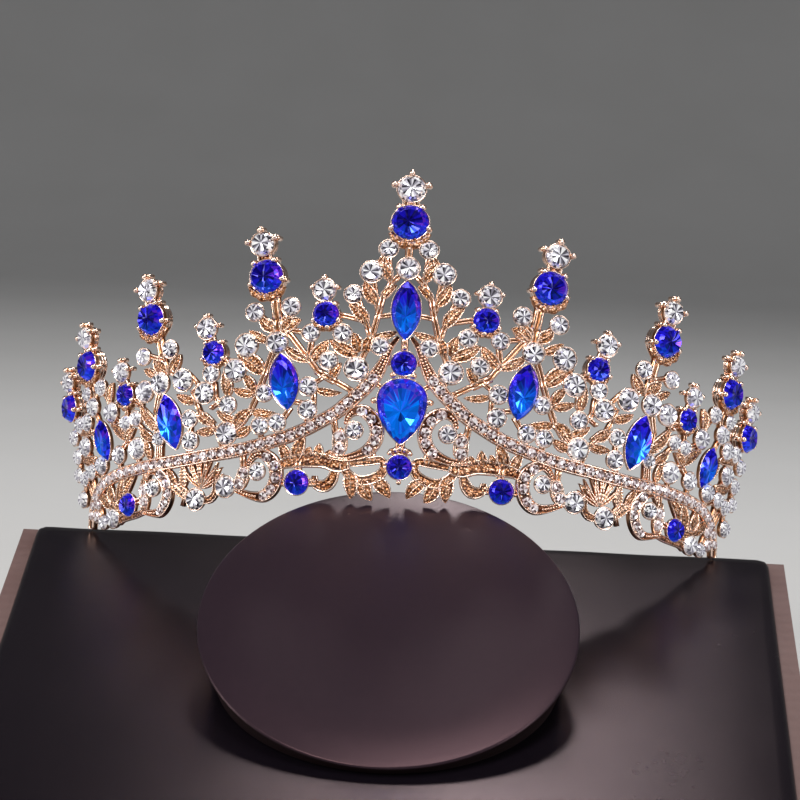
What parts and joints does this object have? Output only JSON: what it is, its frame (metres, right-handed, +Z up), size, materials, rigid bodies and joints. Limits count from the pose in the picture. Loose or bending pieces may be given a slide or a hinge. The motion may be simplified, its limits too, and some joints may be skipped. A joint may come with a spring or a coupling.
{
  "type": "baroque tiara on a display stand",
  "caption": "Flared openwork tiara of rose-gold cast metal, with cut blue and clear glass stones, resting on a dark sloped display board with a round slanted neck",
  "frame": {"origin": "middle of the underside of the whole, in the centre of its bounding box", "axes": "+Z up, the front of the tiara faces -Y, +X to the viewer's right"},
  "size_m": [0.1654, 0.1334, 0.114],
  "materials": {
    "rose_gold": "polished cast alloy plated rose gold, with grained recesses",
    "blue_stone": "foil-backed cut glass, royal blue",
    "clear_stone": "foil-backed cut glass, clear",
    "dark_satin": "smooth near-black cover with a soft gloss",
    "pale_card": "pale beige board, slightly glossy"
  },
  "bodies": {
    "root": {"frame": "rose_gold", "pear_stone": "blue_stone", "upper_round_stone": "blue_stone", "lower_round_stone": "blue_stone", "centre_marquise_stone": "blue_stone", "left_marquise_stone_1": "blue_stone", "left_marquise_stone_2": "blue_stone", "left_marquise_stone_3": "blue_stone", "right_marquise_stone_1": "blue_stone", "right_marquise_stone_2": "blue_stone", "right_marquise_stone_3": "blue_stone", "centre_finial_blue_stone": "blue_stone", "left_finial_blue_stone_1": "blue_stone", "left_finial_blue_stone_2": "blue_stone", "left_finial_blue_stone_3": "blue_stone", "left_finial_blue_stone_4": "blue_stone", "right_finial_blue_stone_1": "blue_stone", "right_finial_blue_stone_2": "blue_stone", "right_finial_blue_stone_3": "blue_stone", "right_finial_blue_stone_4": "blue_stone", "centre_finial_clear_stone": "clear_stone", "left_finial_clear_stone_1": "clear_stone", "left_finial_clear_stone_2": "clear_stone", "left_finial_clear_stone_3": "clear_stone", "left_finial_clear_stone_4": "clear_stone", "right_finial_clear_stone_1": "clear_stone", "right_finial_clear_stone_2": "clear_stone", "right_finial_clear_stone_3": "clear_stone", "right_finial_clear_stone_4": "clear_stone", "small_blue_stones_left": "blue_stone", "small_blue_stones_right": "blue_stone", "clear_stones_left": "clear_stone", "clear_stones_right": "clear_stone", "display_board": "dark_satin", "display_backing": "pale_card", "display_neck": "dark_satin"}
  },
  "joints": []
}
